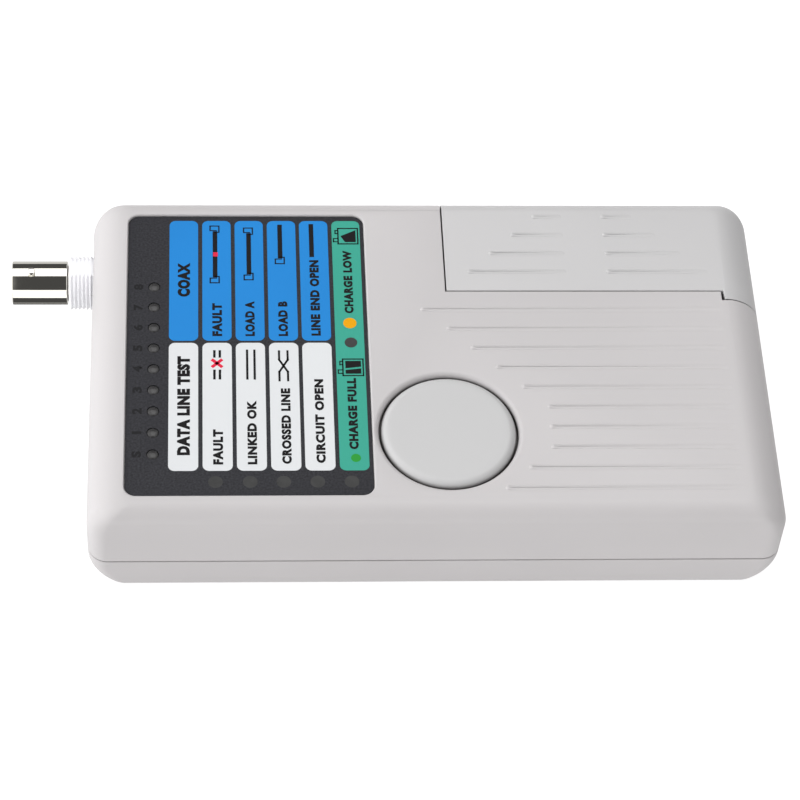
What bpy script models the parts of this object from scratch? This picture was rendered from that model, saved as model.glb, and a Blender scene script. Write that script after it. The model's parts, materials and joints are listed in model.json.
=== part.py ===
"""Network cable tester: main unit, docked remote unit, sliding battery door, sprung test button.

Row frame: origin at the centre of the main unit's underside, +X away from the connector end,
+Y towards the coaxial connector's side, +Z up out of the label face. Dimensions below are in millimetres.
"""
import math

import bmesh
import bpy
from mathutils import Matrix, Vector

MM = 0.001

# ---- driving dimensions (mm) --------------------------------------------------------------
LENGTH, WIDTH, HEIGHT = 144.6, 85.0, 25.0      # casing
WALL = 2.0
PARTING = 8.4                                  # height of the joint between the two halves
R_END_TOP, R_END_BOTTOM = 8.3, 7.4            # rounding of the two ends, seen from the side
R_SIDE_TOP, R_SIDE_BOTTOM = 3.8, 0.9           # rounding along the long sides
R_PLAN = 4.2                                   # corner radius in plan
GAP = 0.3                                      # clearance between touching pieces

LABEL = (-64.4, -13.4, -37.25, 37.5)           # x0, x1, y0, y1
LABEL_R = 1.9
LABEL_TOP, LABEL_THICK = 24.55, 0.3

BUTTON_XY, BUTTON_R, BUTTON_HOLE_R = (2.63, -21.2), 14.1, 14.55
BUTTON_TOP, BUTTON_TRAVEL = 25.45, 1.0

RIB_PITCH, RIB_Y0 = 5.22, 37.22                 # grip ribs lie on one even pitch across the casing
RIB_W, RIB_H = 0.75, 0.25

DOCK_X, DOCK_Y = 3.9, 16.25                    # parting faces of the docked remote unit
TAB_X, TAB_Y = 63.7, 13.85                     # the remote's finger tab at its outer end

LINE_LED_X, LINE_LED_Y0, LINE_LED_PITCH = -58.74, 17.63, 5.55
RESULT_LED_X = (-45.84, -38.74, -31.87, -24.91)
RESULT_LED_Y = -33.8
BATTERY_OK_XY, BATTERY_LOW_XY = (-17.9, -33.8), (-17.0, 2.43)

COAX_Y, COAX_Z = 28.65, 12.5
COAX_TIP, COAX_SHOULDER = -90.0, -77.9
LUG_LEAN = math.radians(12)
SEAT_X = -68.9                                 # inner face the connector's washer bears on

PCB_Z0, PCB_Z1 = 16.6, 18.2
JACK_Y, USB_Y = 3.0, -19.0                     # sockets in the connector end
REMOTE_JACK_Y, REMOTE_USB_Y = 30.2, 30.0

BATTERY_BOX = (18.7, 67.2, -25.25, 1.25, 2.3, 19.8)
DOOR_BOX = (16.5, 80.0, -27.2, 3.2)

CASE_SCREWS = ((-60.0, -35.0), (-54.0, 36.0), (56.0, -35.5), (-3.0, 35.5))
BOARD_SCREWS = ((-11.0, -35.5), (-8.0, 17.2))
REMOTE_SCREWS = ((27.5, 30.0), (43.0, 30.0))

# ---- scene --------------------------------------------------------------------------------
for old in list(bpy.data.objects):
    bpy.data.objects.remove(old)

PARTS = bpy.data.collections.new("network_cable_tester")
CUTTERS = bpy.data.collections.new("cutters")
for c in (PARTS, CUTTERS):
    bpy.context.scene.collection.children.link(c)


def material(name, colour, roughness, metallic=0.0):
    m = bpy.data.materials.new(name)
    m.use_nodes = True
    shader = m.node_tree.nodes["Principled BSDF"]
    shader.inputs["Base Color"].default_value = (*colour, 1.0)
    shader.inputs["Roughness"].default_value = roughness
    shader.inputs["Metallic"].default_value = metallic
    return m


CASE = material("case_plastic", (0.62, 0.60, 0.59), 0.45)
BUTTON = material("button_plastic", (0.64, 0.62, 0.61), 0.4)
LABELM = material("label_film", (0.05, 0.05, 0.055), 0.5)
LENS = material("led_lens", (0.5, 0.48, 0.42), 0.2)
PLATED = material("plated_metal", (0.75, 0.74, 0.72), 0.18, 1.0)
BRASS = material("gold_contact", (0.8, 0.6, 0.25), 0.25, 1.0)
WHITE = material("white_nylon", (0.85, 0.85, 0.84), 0.4)
BLACK = material("black_plastic", (0.03, 0.03, 0.03), 0.45)
BOARD = material("board_green", (0.03, 0.16, 0.07), 0.5)
STEEL = material("screw_steel", (0.5, 0.5, 0.5), 0.3, 1.0)
RED = material("lead_red", (0.6, 0.03, 0.03), 0.5)
FOIL = material("battery_jacket", (0.09, 0.09, 0.1), 0.35)


# ---- tools --------------------------------------------------------------------------------
def add(name, mesh, mat=None, cutter=False):
    o = bpy.data.objects.new(name, mesh)
    (CUTTERS if cutter else PARTS).objects.link(o)
    if mat is not None:
        o.data.materials.clear()
        o.data.materials.append(mat)
    if cutter:
        o.hide_render = True
        o.display_type = "WIRE"
    return o


def from_bmesh(name, bm, mat=None, cutter=False, smooth=True):
    bmesh.ops.recalc_face_normals(bm, faces=bm.faces)
    mesh = bpy.data.meshes.new(name)
    bm.to_mesh(mesh)
    bm.free()
    if smooth:
        mesh.shade_smooth()
        mesh.set_sharp_from_angle(angle=math.radians(35))
    return add(name, mesh, mat, cutter)


def box(name, x0, x1, y0, y1, z0, z1, mat=None, cutter=False, bevel=0.0, segments=1):
    bm = bmesh.new()
    bmesh.ops.create_cube(bm, size=1.0)
    bmesh.ops.scale(bm, vec=Vector(((x1 - x0) * MM, (y1 - y0) * MM, (z1 - z0) * MM)), verts=bm.verts)
    bmesh.ops.translate(bm, vec=Vector(((x0 + x1) / 2 * MM, (y0 + y1) / 2 * MM, (z0 + z1) / 2 * MM)), verts=bm.verts)
    if bevel:
        bmesh.ops.bevel(bm, geom=bm.edges[:], offset=bevel * MM, segments=segments, affect="EDGES", profile=0.5)
    return from_bmesh(name, bm, mat, cutter, smooth=False)


def cylinder(name, r, p, q, mat=None, cutter=False, sides=24):
    """A cylinder of radius r from point p to point q."""
    p, q = Vector(p), Vector(q)
    bm = bmesh.new()
    bmesh.ops.create_cone(bm, cap_ends=True, segments=sides, radius1=r * MM, radius2=r * MM, depth=(q - p).length * MM)
    turn = (q - p).to_track_quat("Z", "Y").to_matrix().to_4x4()
    bmesh.ops.transform(bm, matrix=Matrix.Translation((p + q) / 2 * MM) @ turn, verts=bm.verts)
    return from_bmesh(name, bm, mat, cutter)


def turned(name, profile, at, axis="Z", mat=None, cutter=False, sides=24):
    """A profile of (radius, height) points, closed on the axis or on itself, turned with a Screw modifier."""
    mesh = bpy.data.meshes.new(name)
    points = [(r * MM, 0.0, h * MM) for r, h in profile]
    closed = profile[0][0] > 1e-6
    edges = [(i, i + 1) for i in range(len(points) - 1)] + ([(len(points) - 1, 0)] if closed else [])
    mesh.from_pydata(points, edges, [])
    o = bpy.data.objects.new(name + "_profile", mesh)
    CUTTERS.objects.link(o)
    s = o.modifiers.new("turn", "SCREW")
    s.axis = "Z"
    s.angle = 2 * math.pi
    s.steps = s.render_steps = sides
    s.use_merge_vertices = True
    s.merge_threshold = 1e-6
    graph = bpy.context.evaluated_depsgraph_get()
    made = bpy.data.meshes.new_from_object(o.evaluated_get(graph))
    bpy.data.objects.remove(o)
    bm = bmesh.new()
    bm.from_mesh(made)
    bmesh.ops.remove_doubles(bm, verts=bm.verts, dist=1e-7)
    turn = {"Z": Matrix.Identity(4), "X": Matrix.Rotation(math.radians(90), 4, "Y"),
            "-X": Matrix.Rotation(math.radians(-90), 4, "Y"), "-Z": Matrix.Rotation(math.radians(180), 4, "X")}[axis]
    bmesh.ops.transform(bm, matrix=Matrix.Translation(Vector(at) * MM) @ turn, verts=bm.verts)
    return from_bmesh(name, bm, mat, cutter)


def outline(points, radius=0.0, segments=4):
    """Closed plan outline, anticlockwise, with every corner rounded."""
    if not radius:
        return list(points)
    out = []
    n = len(points)
    for i in range(n):
        a, b, c = Vector(points[i - 1]), Vector(points[i]), Vector(points[(i + 1) % n])
        u, v = (a - b).normalized(), (c - b).normalized()
        half = u.angle(v) / 2
        reach = radius / math.tan(half)
        centre = b + (u + v).normalized() * (radius / math.sin(half))
        s, e = b + u * reach - centre, b + v * reach - centre
        turn = s.angle_signed(e)
        for k in range(segments + 1):
            w = Matrix.Rotation(-turn * k / segments, 2) @ s
            out.append((centre.x + w.x, centre.y + w.y))
    return out


def prism(name, points, z0, z1, mat=None, cutter=False):
    """A flat outline as a 2D curve, extruded by half its thickness each way and made a mesh."""
    curve = bpy.data.curves.new(name, "CURVE")
    curve.dimensions = "2D"
    curve.fill_mode = "BOTH"
    curve.extrude = (z1 - z0) / 2 * MM
    spline = curve.splines.new("POLY")
    spline.points.add(len(points) - 1)
    for p, (x, y) in zip(spline.points, points):
        p.co = (x * MM, y * MM, 0.0, 1.0)
    spline.use_cyclic_u = True
    o = bpy.data.objects.new(name + "_outline", curve)
    CUTTERS.objects.link(o)
    graph = bpy.context.evaluated_depsgraph_get()
    made = bpy.data.meshes.new_from_object(o.evaluated_get(graph))
    bpy.data.objects.remove(o)
    bm = bmesh.new()
    bm.from_mesh(made)
    bmesh.ops.remove_doubles(bm, verts=bm.verts, dist=1e-7)
    bmesh.ops.translate(bm, vec=Vector((0, 0, (z0 + z1) / 2 * MM)), verts=bm.verts)
    return from_bmesh(name, bm, mat, cutter, smooth=False)


def combine(target, *others, how="DIFFERENCE"):
    """Cuts the others from target, or joins them to it, and applies the result."""
    for other in others:
        mod = target.modifiers.new("cut", "BOOLEAN")
        mod.operation = how
        mod.solver = "EXACT"
        mod.object = other
    graph = bpy.context.evaluated_depsgraph_get()
    made = bpy.data.meshes.new_from_object(target.evaluated_get(graph))
    target.modifiers.clear()
    old = target.data
    target.data = made
    bpy.data.meshes.remove(old)
    for other in others:
        if other.name.startswith("tmp"):
            bpy.data.objects.remove(other)
    return target


def copy_of(obj, name, mat=None, cutter=False):
    return add(name, obj.data.copy(), mat, cutter)


def join(target, *others):
    return combine(target, *others, how="UNION")


# ---- the casing's form --------------------------------------------------------------------
def insets(z, t):
    """How far the casing's ends and sides have drawn in at height z, for a surface t inside the outer one."""
    def arc(r, reach):
        return r - math.sqrt(max(r * r - reach * reach, 0.0))

    low, high = z - t, HEIGHT - t - z
    end = side = 0.0
    r = R_END_BOTTOM - t
    if low < r:
        end = arc(r, r - low)
    r = max(R_SIDE_BOTTOM - t, 0.3)
    if low < r:
        side = arc(r, r - low)
    r = R_END_TOP - t
    if high < r:
        end = arc(r, r - high)
    r = R_SIDE_TOP - t
    if high < r:
        side = arc(r, r - high)
    return end, side


def casing(name, t=0.0, steps=5, corner=5, cutter=True):
    """The casing's closed form, t inside the outer surface: a loft of rounded rectangles whose ends draw in more than their sides."""
    def sweep(n):
        return [math.sin(math.pi / 2 * i / n) for i in range(n + 1)]

    heights = set()
    for r, up, n in ((R_END_BOTTOM - t, False, steps), (max(R_SIDE_BOTTOM - t, 0.3), False, 2), (R_END_TOP - t, True, steps + 1), (R_SIDE_TOP - t, True, 3)):
        for s in sweep(n):
            heights.add(round(HEIGHT - t - r + r * s if up else t + r - r * s, 4))
    rings, last = [], None
    for z in sorted(heights):
        if last is not None and z - last < 0.1 and z < HEIGHT - t - 1e-3:
            continue
        last = z
        end, side = insets(z, t)
        a, b = LENGTH / 2 - t - end, WIDTH / 2 - t - side
        r = max(R_PLAN - t - 0.3 * end, 1.2)
        ring = outline([(-a, -b), (a, -b), (a, b), (-a, b)], r, corner)
        rings.append([(x, y, z) for x, y in ring])
    bm = bmesh.new()
    rows = [[bm.verts.new((x * MM, y * MM, z * MM)) for x, y, z in ring] for ring in rings]
    for low, high in zip(rows, rows[1:]):
        n = len(low)
        for i in range(n):
            bm.faces.new((low[i], low[(i + 1) % n], high[(i + 1) % n], high[i]))
    bm.faces.new(list(reversed(rows[0])))
    bm.faces.new(rows[-1])
    return from_bmesh(name, bm, None, cutter)


dock = [(DOCK_X, DOCK_Y), (TAB_X, DOCK_Y), (TAB_X, TAB_Y), (90.0, TAB_Y), (90.0, 60.0), (DOCK_X, 60.0)]


def grown(points, d):
    """The dock's outline moved outwards by d on its inner sides."""
    (x0, y0), (tx, ty) = (DOCK_X - d, DOCK_Y - d), (TAB_X - d, TAB_Y - d)
    return [(x0, y0), (tx, y0), (tx, ty), (90.0 + d, ty), (90.0 + d, 60.0), (x0, 60.0)]


outer = casing("form_outer")
inner = casing("form_inner", WALL)

# main unit's walls
main = copy_of(outer, "main_form", CASE, cutter=True)
combine(main, prism("tmp_dock", grown(dock, 0.12), -5, 30, cutter=True))
hollow = copy_of(inner, "main_hollow", None, cutter=True)
combine(hollow, prism("tmp_dock_wall", grown(dock, 0.12 + WALL), -5, 30, cutter=True))
combine(main, hollow)

# remote unit's walls
remote = copy_of(outer, "remote_form", CASE, cutter=True)
combine(remote, prism("tmp_remote_keep", grown(dock, -0.18), -5, 30, cutter=True), how="INTERSECT")
remote_hollow = copy_of(inner, "remote_hollow", None, cutter=True)
combine(remote_hollow, prism("tmp_remote_wall", grown(dock, -0.18 - 1.8), -5, 30, cutter=True), how="INTERSECT")
combine(remote, remote_hollow)


def halves(form, names):
    top = copy_of(form, names[0], CASE)
    combine(top, box("tmp_below", -120, 120, -80, 80, -10, PARTING + 0.15, cutter=True))
    bottom = copy_of(form, names[1], CASE)
    combine(bottom, box("tmp_above", -120, 120, -80, 80, PARTING - 0.15, 40, cutter=True))
    return top, bottom


top_shell, bottom_shell = halves(main, ("top_shell", "bottom_shell"))
remote_top, remote_bottom = halves(remote, ("remote_top_shell", "remote_bottom_shell"))


# ---- upper casing half --------------------------------------------------------------------
def rectangle(x0, x1, y0, y1):
    return [(x0, y0), (x1, y0), (x1, y1), (x0, y1)]


def posts(shell, places, r, z0, z1):
    for i, (x, y) in enumerate(places):
        join(shell, cylinder("tmp_post", r, (x, y, z0), (x, y, z1), cutter=True, sides=16))


posts(top_shell, CASE_SCREWS, 2.8, PARTING + 0.6, 23.4)
posts(top_shell, BOARD_SCREWS, 2.4, PCB_Z1 + GAP, 23.4)
cuts = [cylinder(f"tmp_pilot{i}", 1.5, (x, y, 0), (x, y, 18.5), cutter=True, sides=12) for i, (x, y) in enumerate(CASE_SCREWS)]
cuts += [cylinder(f"tmp_board_pilot{i}", 1.15, (x, y, 10), (x, y, 22.2), cutter=True, sides=12) for i, (x, y) in enumerate(BOARD_SCREWS)]
cuts.append(prism("tmp_recess", outline(rectangle(LABEL[0] - GAP / 2, LABEL[1] + GAP / 2, LABEL[2] - GAP / 2, LABEL[3] + GAP / 2), LABEL_R, 4), LABEL_TOP - LABEL_THICK - GAP, 30, cutter=True))
cuts.append(cylinder("tmp_button_hole", BUTTON_HOLE_R, (*BUTTON_XY, 20), (*BUTTON_XY, 30), cutter=True, sides=48))

line_leds = [(LINE_LED_X, LINE_LED_Y0 - i * LINE_LED_PITCH) for i in range(9)]
flat_leds = [(x, RESULT_LED_Y) for x in RESULT_LED_X] + [BATTERY_OK_XY, BATTERY_LOW_XY]
for i, (x, y) in enumerate(line_leds + flat_leds):
    cuts.append(cylinder(f"tmp_led_hole{i}", 1.85, (x, y, 21), (x, y, 30), cutter=True, sides=12))

seat = cylinder("coax_seat", 8.6, (-72.2, COAX_Y, COAX_Z), (SEAT_X, COAX_Y, COAX_Z), cutter=True, sides=32)
combine(seat, casing("tmp_seat_limit", 0.7), how="INTERSECT")
coax_hole = cylinder("coax_hole", 6.2, (-80, COAX_Y, COAX_Z), (-60, COAX_Y, COAX_Z), cutter=True, sides=32)
combine(coax_hole, box("tmp_coax_flat", -90, -50, COAX_Y - 10, COAX_Y + 10, COAX_Z + 5.55, COAX_Z + 10, cutter=True))
jack_hole = box("jack_hole", -80, -60, JACK_Y - 8.3, JACK_Y + 8.3, 2.6, 16.6, cutter=True)
usb_hole = box("usb_hole", -80, -60, USB_Y - 6.85, USB_Y + 6.85, 10.2, 16.6, cutter=True)
coax_pocket = cylinder("coax_pocket", 8.4, (SEAT_X, COAX_Y, COAX_Z), (-62, COAX_Y, COAX_Z), cutter=True, sides=32)
end_holes = [coax_hole, coax_pocket, jack_hole, usb_hole]
top_seat = copy_of(seat, "tmp_top_seat", None, cutter=True)
combine(top_seat, box("tmp_seat_low", -80, -60, 15, 45, 0, PARTING + 0.15, cutter=True))
join(top_shell, top_seat)
combine(top_shell, *cuts)
combine(top_shell, *end_holes)


def ribs(prefix, spans, inset=0.0):
    made = []
    for k, x0, x1 in spans:
        y = RIB_Y0 - k * RIB_PITCH
        made.append(prism(f"tmp_{prefix}{k}_{int(x0)}", outline(rectangle(x0, x1, y - RIB_W / 2, y + RIB_W / 2), RIB_W * 0.49, 2), 24.4, HEIGHT + RIB_H, cutter=True))
    return made


MAIN_RIBS = [(5 + i, -1.4 + 5.08 * min(i, 5), 63.3) for i in range(8)] + [(13, 19.0, 63.3), (14, 13.9, 63.3)]
REMOTE_RIBS = [(i, 24.15 - 5.03 * i, 30.4) for i in range(4)] + [(i, 39.35, 45.9 + 5.1 * i) for i in range(4)]
for rib in ribs("rib", MAIN_RIBS):
    join(top_shell, rib)

# ---- lower casing half --------------------------------------------------------------------
posts(bottom_shell, CASE_SCREWS, 4.4, 1.0, PARTING - 0.15)
frame = box("tmp_door_frame", 14.2, 66.5, -31.0, 7.0, 1.0, 3.3, cutter=True)
join(bottom_shell, frame)
rail_shape = [(DOCK_Y - 1.6, 3.6), (DOCK_Y - 0.4, 3.6), (DOCK_Y + 1.4, 2.9), (DOCK_Y + 1.4, 7.1), (DOCK_Y - 0.4, 6.4), (DOCK_Y - 1.6, 6.4)]


def dovetail(name, shape, x0, x1, cutter=True):
    """A bar along X with the given section of (y, z) points."""
    bar = prism(name, [(y, z) for y, z in shape], x0, x1, None, cutter)
    bar.data.transform(Matrix(((0, 0, 1, 0), (1, 0, 0, 0), (0, 1, 0, 0), (0, 0, 0, 1))))
    return bar


join(bottom_shell, dovetail("tmp_rail", rail_shape, 6.0, 60.0))
low = [cylinder(f"tmp_head{i}", 2.9, (x, y, -2), (x, y, 4), cutter=True, sides=16) for i, (x, y) in enumerate(CASE_SCREWS)]
low += [cylinder(f"tmp_shank{i}", 1.5, (x, y, -2), (x, y, 12), cutter=True, sides=12) for i, (x, y) in enumerate(CASE_SCREWS)]
low.append(box("tmp_door_opening", DOOR_BOX[0] - GAP, 90, DOOR_BOX[2] - GAP, DOOR_BOX[3] + GAP, -5, 12, cutter=True))
low.append(box("tmp_door_groove", DOOR_BOX[0] - GAP, 90, DOOR_BOX[2] - 1.2 - GAP, DOOR_BOX[3] + 1.2 + GAP, 0.65, 2.05, cutter=True))
low_seat = copy_of(seat, "tmp_low_seat", None, cutter=True)
combine(low_seat, box("tmp_seat_high", -80, -60, 15, 45, PARTING - 0.15, 30, cutter=True))
join(bottom_shell, low_seat)
combine(bottom_shell, *low)
combine(bottom_shell, *end_holes)

# ---- battery door -------------------------------------------------------------------------
door = copy_of(outer, "battery_door", CASE)
door_hollow = casing("tmp_door_hollow", 1.8)
combine(door, box("tmp_door_keep", *DOOR_BOX, -5, PARTING - 0.35, cutter=True), how="INTERSECT")
combine(door, door_hollow)
for side in (DOOR_BOX[2] - 1.2, DOOR_BOX[3] - 1.0):
    join(door, box("tmp_tongue", DOOR_BOX[0], 62.0, side, side + 2.2, 0.95, 1.75, cutter=True))
for i in range(5):
    x = 21.0 + 1.6 * i
    combine(door, box("tmp_grip", x, x + 0.7, -18, -6, -1, 0.45, cutter=True))

# ---- label, lights ------------------------------------------------------------------------
overlay = prism("face_overlay", outline(rectangle(*LABEL[:2], *LABEL[2:]), LABEL_R, 4), LABEL_TOP - LABEL_THICK, LABEL_TOP, LABELM)
combine(overlay, *[cylinder(f"tmp_window{i}", 1.25, (x, y, 20), (x, y, 30), cutter=True, sides=16) for i, (x, y) in enumerate(line_leds)])


def led(name, x, y, top):
    """A 3 mm light: flanged foot, round body and domed lens."""
    base = PCB_Z1 + GAP
    r = 1.5
    dome = [(r * math.cos(a), top - r + r * math.sin(a)) for a in (0.0, math.radians(30), math.radians(60))] + [(0.0, top)]
    profile = [(0.0, base), (1.7, base), (1.7, base + 0.9), (r, base + 0.9)] + dome
    turned(name, profile, (x, y, 0), "Z", LENS, sides=12)


for i, (x, y) in enumerate(line_leds):
    led(f"line_led_{i + 1}" if i < 8 else "shield_led", x, y, 24.3)
for i, (x, y) in enumerate(flat_leds[:4]):
    led(f"result_led_{i + 1}", x, y, 23.9)
led("battery_ok_led", *BATTERY_OK_XY, 23.9)
led("battery_low_led", *BATTERY_LOW_XY, 23.9)

# ---- test button and its switch -----------------------------------------------------------
cap = [(0.0, BUTTON_TOP), (9.0, BUTTON_TOP - 0.02), (12.6, BUTTON_TOP - 0.1), (13.4, BUTTON_TOP - 0.3), (13.9, BUTTON_TOP - 0.75), (BUTTON_R, BUTTON_TOP - 1.4),
       (BUTTON_R, 22.5), (15.4, 22.5), (15.4, 21.5), (12.4, 21.5), (12.4, 23.2), (3.0, 23.2), (3.0, 21.9), (0.0, 21.9)]
turned("test_button", cap, (*BUTTON_XY, 0), "Z", BUTTON, sides=48)
turned("switch_plunger", [(0.0, 21.6), (1.55, 21.6), (1.75, 21.4), (1.75, 20.45), (0.0, 20.45)], (*BUTTON_XY, 0), "Z", BLACK, sides=16)
switch = box("switch_body", BUTTON_XY[0] - 3.1, BUTTON_XY[0] + 3.1, BUTTON_XY[1] - 3.1, BUTTON_XY[1] + 3.1, PCB_Z1 + GAP, 20.85, BLACK)
combine(switch, cylinder("tmp_switch_hole", 2.1, (*BUTTON_XY, 19.2), (*BUTTON_XY, 25), cutter=True, sides=16))

# ---- main board ---------------------------------------------------------------------------
board = prism("main_pcb", [(-61.5, -30.5), (-56.0, -30.5), (-56.0, -38.0), (9.5, -38.0), (9.5, 13.6), (1.6, 13.6), (1.6, 20.5), (-61.5, 20.5)], PCB_Z0, PCB_Z1, BOARD)
combine(board, *[cylinder(f"tmp_board_hole{i}", 1.3, (x, y, 10), (x, y, 22), cutter=True, sides=12) for i, (x, y) in enumerate(BOARD_SCREWS)])
chip = box("controller_chip", -33.0, -14.0, -9.0, -2.6, 13.2, 15.9, BLACK)
for i in range(7):
    x = -31.2 + 2.54 * i
    join(chip, box("tmp_leg", x, x + 0.9, -10.0, -1.6, 14.3, 14.8, cutter=True))
    for y in (-9.9, -2.1):
        join(chip, box("tmp_leg_end", x + 0.15, x + 0.75, y, y + 0.4, 14.5, 16.3, cutter=True))

# ---- coaxial bayonet connector (points along -X) ------------------------------------------
T = COAX_TIP
barrel = turned("bnc_shell", [(4.05, T + 0.25), (4.3, T), (4.5, T), (4.75, T + 0.3), (4.75, COAX_SHOULDER - 1.2), (4.55, COAX_SHOULDER - 1.0), (4.55, COAX_SHOULDER - 0.5),
                              (4.75, COAX_SHOULDER - 0.3), (4.75, COAX_SHOULDER), (3.8, COAX_SHOULDER), (3.8, -60.5), (2.2, -60.5), (2.2, COAX_SHOULDER - 1.4), (4.05, COAX_SHOULDER - 1.4)],
                (0, COAX_Y, COAX_Z), "X", PLATED, sides=32)
lean = Vector((0, -math.sin(LUG_LEAN), math.cos(LUG_LEAN)))
centre = Vector((-85.7, COAX_Y, COAX_Z))
for s in (1, -1):
    join(barrel, cylinder("tmp_lug", 0.95, centre + lean * 4.35 * s, centre + lean * 5.5 * s, cutter=True, sides=12))
turned("bnc_insulator", [(0.95, T + 4.2), (1.9, T + 4.2), (1.9, -61.5), (0.95, -61.5)], (0, COAX_Y, COAX_Z), "X", WHITE, sides=20)
turned("bnc_centre_contact", [(0.0, T + 6.0), (0.25, T + 5.9), (0.25, T + 3.0), (0.5, T + 2.9), (0.65, T + 3.2), (0.65, -58.5), (0.0, -58.3)], (0, COAX_Y, COAX_Z), "X", BRASS, sides=12)
bushing = turned("bnc_bushing", [(4.1, COAX_SHOULDER + 0.3), (5.4, COAX_SHOULDER + 0.3), (5.85, COAX_SHOULDER + 0.75), (5.85, -64.3), (5.5, -64.0), (4.1, -64.0)], (0, COAX_Y, COAX_Z), "X", WHITE, sides=32)
combine(bushing, box("tmp_flat", -90, -50, COAX_Y - 10, COAX_Y + 10, COAX_Z + 5.2, COAX_Z + 10, cutter=True))
washer = turned("bnc_lock_washer", [(6.15, SEAT_X + 0.3), (7.9, SEAT_X + 0.3), (7.9, SEAT_X + 1.0), (6.15, SEAT_X + 1.0)], (0, COAX_Y, COAX_Z), "X", PLATED, sides=24)
nut = cylinder("bnc_nut", 7.9, (SEAT_X + 1.3, COAX_Y, COAX_Z), (SEAT_X + 3.6, COAX_Y, COAX_Z), PLATED, sides=6)
combine(nut, cylinder("tmp_nut_bore", 6.15, (-75, COAX_Y, COAX_Z), (-60, COAX_Y, COAX_Z), cutter=True, sides=24))


# ---- sockets ------------------------------------------------------------------------------
def modular_jack(prefix, face, into, y):
    """An 8-way modular jack: housing with a stepped mouth, and its comb of spring contacts. face is the mouth's X; into is +1 or -1."""
    def bx(name, a, b, y0, y1, z0, z1, mat=None, cutter=False):
        xs = sorted((face + into * a, face + into * b))
        return box(name, *xs, y0, y1, z0, z1, mat, cutter)

    housing = bx(prefix + "_housing", 0, 19.5, y - 7.9, y + 7.9, 2.95, 16.3, BLACK)
    combine(housing, bx("tmp_mouth", -3, 13.5, y - 5.95, y + 5.95, 6.4, 13.9, cutter=True),
            bx("tmp_latch", -3, 12.0, y - 3.2, y + 3.2, 4.4, 8.0, cutter=True),
            bx("tmp_slot", 1.5, 15.6, y - 4.9, y + 4.9, 12.0, 15.0, cutter=True))
    comb = bx(prefix + "_contacts", 14.2, 15.2, y - 4.5, y + 4.5, 13.0, 14.4, BRASS)
    for i in range(8):
        yy = y + (i - 3.5) * 1.02
        join(comb, bx("tmp_wire", 4.0, 14.6, yy - 0.22, yy + 0.22, 12.9, 13.35, cutter=True))
    return housing


modular_jack("line_jack", -70.2, 1, JACK_Y)
modular_jack("remote_jack", 70.2, -1, REMOTE_JACK_Y)

usb = box("usb_a_shell", -71.2, -57.2, USB_Y - 6.55, USB_Y + 6.55, 10.5, 16.25, PLATED)
combine(usb, box("tmp_usb_in", -75, -57.6, USB_Y - 6.2, USB_Y + 6.2, 10.85, 15.9, cutter=True))
tongue = box("usb_a_tongue", -70.4, -57.9, USB_Y - 5.5, USB_Y + 5.5, 13.6, 15.4, WHITE)
combine(tongue, *[box(f"tmp_pad{i}", -69.9, -61.0, USB_Y - 3.5 + 2.0 * i - 0.5 + 0.5, USB_Y - 3.5 + 2.0 * i + 0.5 + 0.5, 13.0, 13.85, cutter=True) for i in range(4)])

usb_b = box("usb_b_shell", 4.9, 20.9, REMOTE_USB_Y - 6.0, REMOTE_USB_Y + 6.0, 5.4, 16.25, PLATED)
bore = prism("tmp_usb_b_in", outline([(REMOTE_USB_Y - 4.25, 6.9), (REMOTE_USB_Y + 4.25, 6.9), (REMOTE_USB_Y + 4.25, 12.9), (REMOTE_USB_Y + 2.7, 14.8), (REMOTE_USB_Y - 2.7, 14.8), (REMOTE_USB_Y - 4.25, 12.9)]), -5, 14.5, cutter=True)
bore.data.transform(Matrix(((0, 0, 1, 0), (1, 0, 0, 0), (0, 1, 0, 0), (0, 0, 0, 1))))
combine(usb_b, bore)
box("usb_b_tongue", 5.7, 14.2, REMOTE_USB_Y - 2.8, REMOTE_USB_Y + 2.8, 9.2, 12.4, WHITE)

# ---- battery ------------------------------------------------------------------------------
bx0, bx1, by0, by1, bz0, bz1 = BATTERY_BOX
box("battery", *BATTERY_BOX, FOIL, bevel=1.2, segments=2)
mid_y = (by0 + by1) / 2
turned("battery_terminal_plus", [(0.0, 15.7), (2.6, 15.7), (2.9, 16.0), (2.9, 18.4), (0.0, 18.4)], (0, mid_y - 6.35, 11.0), "X", PLATED, sides=16)
turned("battery_terminal_minus", [(0.0, 17.8), (2.7, 17.8), (3.0, 15.7), (3.9, 15.7), (3.7, 18.4), (0.0, 18.4)], (0, mid_y + 6.35, 11.0), "X", PLATED, sides=12)
box("battery_snap", 13.2, 15.4, by0 + 0.6, by1 - 0.6, 5.2, 16.2, BLACK, bevel=0.5)


def lead(name, points, mat):
    """A thin insulated lead through the given points, on a smooth line."""
    pts = [Vector(p) for p in points]
    line = []
    for i in range(len(pts) - 1):
        p0, p1, p2, p3 = pts[max(i - 1, 0)], pts[i], pts[i + 1], pts[min(i + 2, len(pts) - 1)]
        for k in range(4):
            t = k / 4
            line.append(0.5 * ((2 * p1) + (p2 - p0) * t + (2 * p0 - 5 * p1 + 4 * p2 - p3) * t * t + (3 * p1 - p0 - 3 * p2 + p3) * t ** 3))
    line.append(pts[-1])
    curve = bpy.data.curves.new(name, "CURVE")
    curve.dimensions = "3D"
    curve.bevel_depth = 0.65 * MM
    curve.bevel_resolution = 1
    curve.use_fill_caps = True
    spline = curve.splines.new("POLY")
    spline.points.add(len(line) - 1)
    for p, v in zip(spline.points, line):
        p.co = (*(v * MM), 1.0)
    o = bpy.data.objects.new(name, curve)
    PARTS.objects.link(o)
    curve.materials.append(mat)
    return o


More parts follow.
